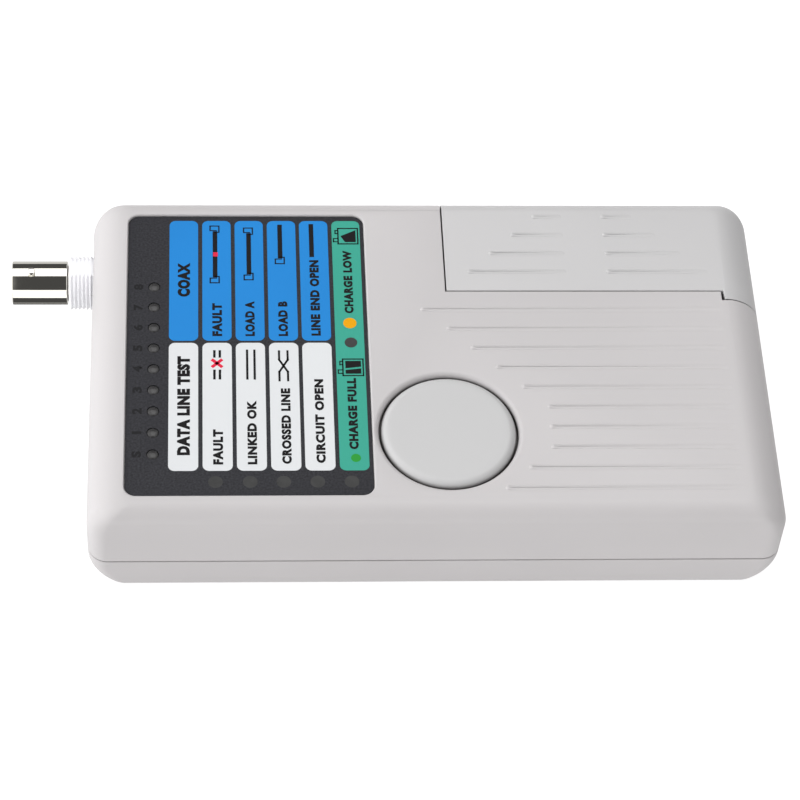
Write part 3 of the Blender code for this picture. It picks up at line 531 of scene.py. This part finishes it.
for x in (-45.95, -44.8):
    marks += [strip(x - 0.26, x + 0.26, -1.6, 0.4), strip(x - 0.26, x + 0.26, -7.4, -4.8)]
for x in (-39.05, -37.5):
    marks.append(strip(x - 0.24, x + 0.24, -7.45, 0.55))
marks += line_mark([(-32.3, -7.7), (-32.3, -5.4), (-30.5, -2.2), (-30.5, 0.1)]) + line_mark([(-30.5, -7.7), (-30.5, -5.4), (-32.3, -2.2), (-32.3, 0.1)])
for y0, full in ((29.75, False), (-6.43, True)):
    x0, x1, y1 = -18.9, -14.6, y0 + 4.4
    marks += line_mark([(x0, y0), (x1, y0), (x1, y1), (x0, y1), (x0, y0)], 0.3)
    marks += line_mark([(x0, y0 + 0.6), (x0 - 1.0, y0 + 0.6), (x0 - 1.0, y0 + 1.5), (x0, y0 + 1.5)], 0.26)
    marks += line_mark([(x0, y1 - 1.5), (x0 - 0.6, y1 - 1.5), (x0 - 0.6, y1 - 0.6), (x0, y1 - 0.6)], 0.26)
    if full:
        marks.append(flat([(x0 + 0.55, y0 + 0.5), (x1 - 0.45, y0 + 0.5), (x1 - 0.45, y0 + 1.9), (x0 + 0.55, y0 + 1.5)]))
        marks.append(flat([(x0 + 0.55, y0 + 1.95), (x1 - 0.45, y0 + 2.35), (x1 - 0.45, y1 - 0.5), (x0 + 0.55, y1 - 0.5)]))
    else:
        marks.append(flat([(x0 + 1.5, y0 + 0.5), (x1 - 0.45, y0 + 0.5), (x1 - 0.45, y1 - 0.5), (x0 + 0.55, y1 - 2.2)]))
label_marks = merge("label_marks", marks)
red_marks = merge("label_red_marks", line_mark([(-46.25, -3.9), (-44.55, -2.3)], 0.72) + line_mark([(-44.55, -3.9), (-46.25, -2.3)], 0.72) + [prism("mark", rectangle(-46.1, -45.1, 26.15, 27.35), FILM_TOP - 0.02, INK2 + 0.01)])
numerals = merge("label_numerals", [words(c, -63.1, -61.1, y - w, y + w, 0.05, FILM_TOP + 0.006) for (x, y), c, w in zip(line_leds, "87654321S", [0.8] * 7 + [0.35, 0.8])])
yellow_dot = disc(-17.05, 7.7, 1.42, INK2)
yellow_dot.name = "label_yellow_dot"
green_dot = disc(-16.89, -27.84, 1.03, INK2)
green_dot.name = "label_green_dot"
windows = merge("label_windows", [disc(x, y, 1.5, FILM_TOP + 0.006) for x, y in flat_leds[:5]] + [disc(-16.98, 2.43, 1.35, INK2)])

# ---- lights in the label ------------------------------------------------------------------
lenses = []
for i, (x, y) in enumerate(line_leds):
    node = f"line_led_{i + 1}" if i < 8 else "shield_led"
    r, head, dome = 1.26, 24.66, 0.42
    profile = [(0.0, 18.5), (1.65, 18.5), (1.65, 19.4), (r, 19.4), (r, head - dome)] + [(r * math.cos(a), head - dome + dome * math.sin(a)) for a in (math.radians(k) for k in range(10, 90, 10))] + [(0.0, head)]
    o = turned(node + "_lens", profile, (x, y, 0), sides=32)
    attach(o, "main_unit")
    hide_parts(node)
    lenses.append(o)

# ---- button -------------------------------------------------------------------------------
edge = 1.8
cap = [(0.0, BUTTON_TOP), (BUTTON_R - edge - 0.6, BUTTON_TOP - 0.02)] + [(BUTTON_R - edge + edge * math.sin(a), BUTTON_TOP - 0.03 - edge + edge * math.cos(a)) for a in (math.radians(k) for k in range(0, 91, 9))]
cap += [(BUTTON_R, 22.5), (15.4, 22.5), (15.4, 21.5), (12.4, 21.5), (12.4, 23.2), (3.0, 23.2), (3.0, 21.9), (0.0, 21.9)]
button = turned("test_button_cap", cap, (*BUTTON_XY, 0), sides=160)
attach(button, "test_button")
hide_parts("test_button")

# ---- coaxial connector --------------------------------------------------------------------
T, S = COAX_TIP, COAX_SHOULDER


def rounded(profile_points, r, n=4):
    """The profile with its inner corners rounded by up to r."""
    out = [profile_points[0]]
    for a, b, c in zip(profile_points, profile_points[1:], profile_points[2:]):
        a, b, c = Vector(a), Vector(b), Vector(c)
        u, v = (a - b), (c - b)
        d = min(r, u.length * 0.45, v.length * 0.45)
        p, q = b + u.normalized() * d, b + v.normalized() * d
        for k in range(n + 1):
            t = k / n
            out.append(tuple((1 - t) ** 2 * p + 2 * t * (1 - t) * b + t * t * q))
    return out + [profile_points[-1]]


barrel = turned("bnc_barrel", rounded([(4.05, T + 0.6), (4.05, T + 0.01), (4.75, T + 0.01), (4.75, S), (3.8, S), (3.8, -60.5), (2.2, -60.5), (2.2, S - 1.4), (4.05, S - 1.4)], 0.22)[0:], (0, COAX_Y, COAX_Z), "X", sides=128)
lean = Vector((0, -math.sin(LUG_LEAN), math.cos(LUG_LEAN)))
centre = Vector((-85.7, COAX_Y, COAX_Z))
lugs = []
for s in (1, -1):
    a, b = centre + lean * 4.3 * s, centre + lean * 5.5 * s
    lug = turned("lug", [(0.0, 0.0), (0.95, 0.0), (0.95, 0.95), (0.9, 1.1), (0.75, 1.2), (0.0, 1.2)], (0, 0, 0), sides=32)
    turn = (lean * s).to_track_quat("Z", "Y").to_matrix().to_4x4()
    lug.data.transform(Matrix.Translation(a * MM) @ turn)
    lugs.append(lug)
barrel = merge("bnc_barrel", [barrel] + lugs)
resmooth(barrel, 40)
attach(barrel, "main_unit")
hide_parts("bnc_shell")

pitch, crests = 0.86, 5
thread = []
x = S + 0.35
profile = [(4.1, x), (5.3, x)]
while x < -64.6:
    profile += [(5.42, x + 0.08), (5.8, x + 0.3), (5.85, x + 0.36), (5.85, x + 0.5), (5.8, x + 0.56), (5.42, x + 0.78)]
    x += pitch
profile += [(5.3, -64.0), (4.1, -64.0)]
bushing = turned("bnc_bushing_thread", profile, (0, COAX_Y, COAX_Z), "X", sides=96, smooth=50)
combine(bushing, box("t", -90, -50, COAX_Y - 10, COAX_Y + 10, COAX_Z + 5.2, COAX_Z + 10))
resmooth(bushing, 40)
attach(bushing, "main_unit")
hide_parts("bnc_bushing")

# ---- what rides on what -------------------------------------------------------------------
for o, body, nodes, slot in (
    (top, "main_unit", ["top_shell"], "case_plastic"), (main_ribs, "main_unit", [], "case_plastic"),
    (bottom, "main_unit", ["bottom_shell"], "case_plastic"),
    (rtop, "remote_unit", ["remote_top_shell"], "case_plastic"), (remote_ribs, "remote_unit", [], "case_plastic"),
    (rbottom, "remote_unit", ["remote_bottom_shell"], "case_plastic"),
    (door, "battery_door", ["battery_door"], "case_plastic"),
    (film, "main_unit", ["face_overlay"], "label_film"), (blue_cells, "main_unit", [], "label_film"), (white_cells, "main_unit", [], "label_film"),
    (green_strip, "main_unit", [], "label_film"), (label_words, "main_unit", [], "label_film"), (label_marks, "main_unit", [], "label_film"),
    (red_marks, "main_unit", [], "label_film"), (numerals, "main_unit", [], "label_film"), (yellow_dot, "main_unit", [], "label_film"),
    (green_dot, "main_unit", [], "label_film"), (windows, "main_unit", [], "label_film"),
):
    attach(o, body)
    if nodes:
        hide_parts(*nodes)
for o in shells:
    resmooth(o, 28)


# ---- materials ----------------------------------------------------------------------------
def rgb(r, g, b):
    """A screen colour as the linear colour a shader takes."""
    return tuple((c / 255 / 12.92) if c / 255 <= 0.04045 else ((c / 255 + 0.055) / 1.055) ** 2.4 for c in (r, g, b)) + (1.0,)


def surface(name, colour, rough, metal=0.0, grain=900.0, bump=0.02, vary=0.03, rough_vary=0.06, wear=0.0, coat=0.0, specular=0.5, patch_scale=35.0, bump_distance=0.00003, transmission=0.0, subsurface=0.0, stretch=(1, 1, 1), ior=1.5, shade_reach=0.0, shade_clear_above=0.42):
    """A finish with broad tone drift, fine grain in bump and roughness, paler rubbed edges, and painted shade: a
    near-black colour mixed in where ambient occlusion finds a narrow gap.
    """
    m = bpy.data.materials.new(name)
    m.use_nodes = True
    t = m.node_tree
    shader = t.nodes["Principled BSDF"]
    new = t.nodes.new
    coord = new("ShaderNodeTexCoord")
    mapping = new("ShaderNodeMapping")
    mapping.inputs["Scale"].default_value = stretch
    t.links.new(coord.outputs["Object"], mapping.inputs["Vector"])
    broad = new("ShaderNodeTexNoise")
    broad.inputs["Scale"].default_value = patch_scale
    broad.inputs["Detail"].default_value = 4.0
    fine = new("ShaderNodeTexNoise")
    fine.inputs["Scale"].default_value = grain
    fine.inputs["Detail"].default_value = 2.0
    for n in (broad, fine):
        t.links.new(mapping.outputs["Vector"], n.inputs["Vector"])
    tone = new("ShaderNodeValToRGB")
    dark = tuple(c * (1 - vary) for c in colour[:3]) + (1.0,)
    light = tuple(min(c * (1 + vary), 1.0) for c in colour[:3]) + (1.0,)
    tone.color_ramp.elements[0].position, tone.color_ramp.elements[1].position = 0.3, 0.7
    tone.color_ramp.elements[0].color, tone.color_ramp.elements[1].color = dark, light
    t.links.new(broad.outputs["Fac"], tone.inputs["Fac"])
    source = tone.outputs["Color"]
    if wear:
        geometry = new("ShaderNodeNewGeometry")
        edges = new("ShaderNodeMapRange")
        edges.inputs["From Min"].default_value, edges.inputs["From Max"].default_value = 0.53, 0.62
        edges.inputs["To Max"].default_value = wear
        t.links.new(geometry.outputs["Pointiness"], edges.inputs["Value"])
        mix = new("ShaderNodeMix")
        mix.data_type = "RGBA"
        t.links.new(edges.outputs["Result"], mix.inputs["Factor"])
        t.links.new(source, mix.inputs["A"])
        mix.inputs["B"].default_value = tuple(min(c * 1.25 + 0.02, 1.0) for c in colour[:3]) + (1.0,)
        source = mix.outputs["Result"]
    # Painted shade: where ambient occlusion finds a narrow gap within the given reach, the base colour is mixed towards
    # near black.
    if shade_reach:
        shade_occlusion = new("ShaderNodeAmbientOcclusion")
        shade_occlusion.samples = 8
        shade_occlusion.inputs["Distance"].default_value = shade_reach * MM
        shade_ramp = new("ShaderNodeMapRange")
        shade_ramp.inputs["From Min"].default_value, shade_ramp.inputs["From Max"].default_value = 0.1, shade_clear_above
        t.links.new(shade_occlusion.outputs["AO"], shade_ramp.inputs["Value"])
        painted_shade_mix = new("ShaderNodeMix")
        painted_shade_mix.data_type = "RGBA"
        t.links.new(shade_ramp.outputs["Result"], painted_shade_mix.inputs["Factor"])
        painted_shade_mix.inputs["A"].default_value = (0.03, 0.022, 0.02, 1.0)
        t.links.new(source, painted_shade_mix.inputs["B"])
        source = painted_shade_mix.outputs["Result"]
    t.links.new(source, shader.inputs["Base Color"])
    gloss = new("ShaderNodeMapRange")
    gloss.inputs["To Min"].default_value, gloss.inputs["To Max"].default_value = max(rough - rough_vary, 0.02), rough + rough_vary
    t.links.new(broad.outputs["Fac"], gloss.inputs["Value"])
    t.links.new(gloss.outputs["Result"], shader.inputs["Roughness"])
    if bump:
        b = new("ShaderNodeBump")
        b.inputs["Strength"].default_value = bump
        b.inputs["Distance"].default_value = bump_distance
        t.links.new(fine.outputs["Fac"], b.inputs["Height"])
        t.links.new(b.outputs["Normal"], shader.inputs["Normal"])
    shader.inputs["Metallic"].default_value = metal
    shader.inputs["Specular IOR Level"].default_value = specular
    shader.inputs["IOR"].default_value = ior
    shader.inputs["Coat Weight"].default_value = coat
    shader.inputs["Transmission Weight"].default_value = transmission
    shader.inputs["Subsurface Weight"].default_value = subsurface
    return m


# The case, remote and button finishes paint shade into their narrow gaps. The button's longer reach also paints its
# rounded rim dark where it dips into the hole.
CASE = surface("case_abs", (0.540, 0.521, 0.525, 1), 0.40, grain=1400, bump=0.25, vary=0.012, wear=0.1, specular=0.35, shade_reach=1.2, shade_clear_above=0.32)
REMOTE = surface("remote_abs", (0.520, 0.513, 0.517, 1), 0.40, grain=1400, bump=0.25, vary=0.012, wear=0.1, specular=0.35, shade_reach=1.2, shade_clear_above=0.32)
BUTTON = surface("button_abs", (0.532, 0.530, 0.532, 1), 0.40, grain=1400, bump=0.15, vary=0.01, wear=0.0, specular=0.35, shade_reach=3.5, shade_clear_above=0.75)
FILM = surface("film_charcoal", rgb(50, 50, 54), 0.5, grain=2200, bump=0.35, vary=0.3, rough_vary=0.05, specular=0.1, patch_scale=2200)
BLUE = surface("ink_blue", rgb(35, 132, 208), 0.45, grain=2200, bump=0.2, vary=0.03, specular=0.1)
WHITE_INK = surface("ink_white", rgb(219, 221, 223), 0.45, grain=2200, bump=0.2, vary=0.01, specular=0.1)
GREEN = surface("ink_green", rgb(62, 162, 142), 0.45, grain=2200, bump=0.2, vary=0.03, specular=0.1)
BLACK_INK = surface("ink_black", rgb(22, 20, 22), 0.45, grain=2200, bump=0.1, vary=0.05, specular=0.1)
SHADE_INK = surface("ink_shade", rgb(32, 32, 34), 0.45, grain=2200, bump=0.1, vary=0.05, specular=0.1)
RED_INK = surface("ink_red", rgb(222, 40, 70), 0.45, grain=2200, bump=0.1, vary=0.03, specular=0.1)
YELLOW = surface("ink_yellow", rgb(232, 162, 5), 0.4, grain=2200, bump=0.1, vary=0.03, specular=0.1)
LEAF = surface("ink_leaf_green", rgb(45, 150, 55), 0.4, grain=2200, bump=0.1, vary=0.05, specular=0.1)
WINDOW = surface("window_smoke", rgb(62, 62, 62), 0.3, grain=1500, bump=0.1, vary=0.15, patch_scale=400, specular=0.1)
LENS = surface("led_resin", (0.042, 0.041, 0.042, 1), 0.16, grain=900, bump=0.02, vary=0.1, specular=0.3)
CHROME = surface("nickel_plate", (0.74, 0.72, 0.66, 1), 0.07, metal=1.0, grain=700, bump=0.03, vary=0.02, rough_vary=0.03)
PLATE = surface("stamped_plate", (0.7, 0.69, 0.66, 1), 0.25, metal=1.0, grain=700, bump=0.05, vary=0.03)
NYLON = surface("white_nylon", (0.86, 0.86, 0.885, 1), 0.4, grain=900, bump=0.1, vary=0.01, subsurface=0.0)
GOLD = surface("gold_plate", (0.9, 0.65, 0.28, 1), 0.2, metal=1.0, grain=700, bump=0.03, vary=0.04)
BLACK = surface("black_moulding", (0.018, 0.018, 0.02, 1), 0.42, grain=1200, bump=0.2, vary=0.1, wear=0.4)
BOARD = surface("solder_resist", (0.012, 0.12, 0.045, 1), 0.3, grain=900, bump=0.1, vary=0.2, coat=0.4)
JACKET = surface("battery_jacket", (0.02, 0.02, 0.024, 1), 0.3, grain=700, bump=0.05, vary=0.1, wear=0.5, coat=0.3)
LEAD_RED = surface("lead_red", (0.5, 0.012, 0.012, 1), 0.4, grain=900, bump=0.1, vary=0.05)
STEEL = surface("screw_steel", (0.45, 0.45, 0.46, 1), 0.28, metal=1.0, grain=900, bump=0.1, vary=0.05, wear=0.5)


def paint(o, m):
    o.data.materials.clear()
    o.data.materials.append(m)


for o in (top, bottom, door, main_ribs):
    paint(o, CASE)
for o in (rtop, rbottom, remote_ribs):
    paint(o, REMOTE)
paint(button, BUTTON)
for o, m in ((film, FILM), (blue_cells, BLUE), (white_cells, WHITE_INK), (green_strip, GREEN), (label_words, BLACK_INK), (label_marks, BLACK_INK), (red_marks, RED_INK),
             (numerals, SHADE_INK), (yellow_dot, YELLOW), (green_dot, LEAF), (windows, WINDOW), (barrel, CHROME), (bushing, NYLON)):
    paint(o, m)
for o in lenses:
    paint(o, LENS)

by_slot = {"plated_metal": PLATE, "gold_contact": GOLD, "white_nylon": NYLON, "black_plastic": BLACK, "board": BOARD, "battery_jacket": JACKET, "lead_red": LEAD_RED, "screw_steel": STEEL, "led_lens": LENS, "case_plastic": CASE, "button_plastic": BUTTON, "label_film": FILM}
slot_of = {s["node"]: s["material_slot"] for s in frame["record"]["subparts"]}
for name, node in NODES.items():
    paint(node, by_slot[slot_of[name]])
    node.data.shade_smooth()
    node.data.set_sharp_from_angle(angle=math.radians(30))
    if name in ("line_jack_housing", "remote_jack_housing", "usb_a_shell", "usb_b_shell", "usb_a_tongue", "usb_b_tongue", "switch_body", "controller_chip", "battery_snap", "main_pcb", "remote_pcb", "bnc_nut"):
        soft = node.modifiers.new("edge", "BEVEL")
        soft.width = 0.12 * MM
        soft.segments = 2
        soft.limit_method = "ANGLE"
        soft.angle_limit = math.radians(40)

# ---- floor, light, camera -----------------------------------------------------------------
bm = bmesh.new()
bmesh.ops.create_grid(bm, x_segments=1, y_segments=1, size=3.0)
bmesh.ops.translate(bm, verts=bm.verts, vec=(0.0, 0.0, -0.05 * MM))
floor = finish_mesh("floor", bm, 0)
white = bpy.data.materials.new("floor_white")
white.use_nodes = True
fs = white.node_tree.nodes["Principled BSDF"]
fs.inputs["Base Color"].default_value = (0.3, 0.3, 0.3, 1)
fs.inputs["Roughness"].default_value = 0.9
fs.inputs["Specular IOR Level"].default_value = 0.1
fs.inputs["Emission Color"].default_value = (1, 1, 1, 1)
fs.inputs["Emission Strength"].default_value = 0.86
floor.data.materials.append(white)
floor.visible_glossy = False

FLAG, BOX, HORIZON, LEFT = 0.08, 2.25, 1.8, 1.3
world = bpy.data.worlds.new("studio")
bpy.context.scene.world = world
world.use_nodes = True
wt = world.node_tree
back = wt.nodes["Background"]
coord = wt.nodes.new("ShaderNodeTexCoord")
split = wt.nodes.new("ShaderNodeSeparateXYZ")
wt.links.new(coord.outputs["Generated"], split.inputs["Vector"])


def calc(how, *values):
    """A Math node on sockets or plain numbers."""
    n = wt.nodes.new("ShaderNodeMath")
    n.operation = how
    for socket, value in zip(n.inputs, values):
        if isinstance(value, (int, float)):
            socket.default_value = value
        else:
            wt.links.new(value, socket)
    return n.outputs[0]


def slope(value, a, b, lo, hi):
    """A straight ramp from lo at a to hi at b, level outside."""
    n = wt.nodes.new("ShaderNodeMapRange")
    for name, v in (("From Min", a), ("From Max", b), ("To Min", lo), ("To Max", hi)):
        n.inputs[name].default_value = v
    wt.links.new(value, n.inputs["Value"])
    return n.outputs["Result"]


def bands(angle, stops):
    """Brightness by angle from the zenith (degrees, + towards the front), as level steps with soft edges of 3 degrees."""
    total = stops[0][1]
    for (before, after), edge in zip(zip(stops, stops[1:]), (s[0] for s in stops[1:])):
        total = calc("ADD", total, slope(angle, math.radians(edge - 1.5), math.radians(edge + 1.5), 0.0, after[1] - before[1]))
    return total


# A room with a long softbox above and behind, grey flags in front of and behind it, and a bright wall on the left.
out_x, out_y, out_z = split.outputs
lean = calc("ARCTAN2", calc("MULTIPLY", out_y, -1.0), out_z)
middle = bands(lean, [(-180, FLAG), (-143, 0.75), (-85, FLAG), (-44, BOX), (2, FLAG), (78, HORIZON), (126, FLAG), (172, 0.6)])
sides = bands(lean, [(-180, 0.8), (-90, 0.6), (-44, 1.55), (2, 1.15), (53, 1.05), (78, 1.5), (95, 0.8)])
near = calc("MULTIPLY", slope(out_x, -0.34, -0.18, 0.0, 1.0), slope(out_x, 0.18, 0.34, 1.0, 0.0))
right_fall = slope(out_x, 0.42, 0.9, 0.95, 0.0)
left_wall = slope(out_x, -0.45, -0.85, 0.0, LEFT)
strength = calc("ADD", calc("ADD", calc("MULTIPLY", middle, near), calc("MULTIPLY", calc("MULTIPLY", sides, right_fall), calc("SUBTRACT", 1.0, near))), left_wall)
wt.links.new(strength, back.inputs["Strength"])
back.inputs["Color"].default_value = (1, 1, 1, 1)


def softbox(name, at, to, sx, sy, watts, colour=(1, 1, 1)):
    data = bpy.data.lights.new(name, "AREA")
    data.shape = "RECTANGLE"
    data.size, data.size_y = sx, sy
    data.energy = watts
    data.color = colour
    o = bpy.data.objects.new(name, data)
    bpy.context.scene.collection.objects.link(o)
    o.location = at
    o.rotation_euler = (Vector(to) - Vector(at)).to_track_quat("-Z", "Y").to_euler()
    o.visible_camera = False
    return o


softbox("overhead", (0.0, 0.30, 0.9), (0, 0, 0), 0.5, 0.35, 0.5)

LENS_MM, SHIFT, PITCH, YAW, ROLL, PLACE = 133.733, 0.05625, 0.92154, -0.08425, 0.06511, (-48.233, -387.283, 519.592)
cy, sy, cp, sp = math.cos(YAW), math.sin(YAW), math.cos(PITCH), math.sin(PITCH)
right = Vector((cy, sy, 0))
ahead = Vector((-sy * cp, cy * cp, -sp))
up = right.cross(ahead)
side_axis = right * math.cos(ROLL) + up * math.sin(ROLL)
up_axis = up * math.cos(ROLL) - right * math.sin(ROLL)
cam_data = bpy.data.cameras.new("camera")
cam_data.sensor_width = 36.0
cam_data.lens = LENS_MM
cam_data.shift_x = SHIFT
cam_data.clip_start, cam_data.clip_end = 0.01, 20.0
cam = bpy.data.objects.new("camera", cam_data)
bpy.context.scene.collection.objects.link(cam)
m = Matrix((side_axis, up_axis, -ahead)).transposed().to_4x4()
m.translation = Vector(PLACE) * MM
cam.matrix_world = m
bpy.context.scene.camera = cam
bpy.context.scene.view_settings.view_transform = "Standard"
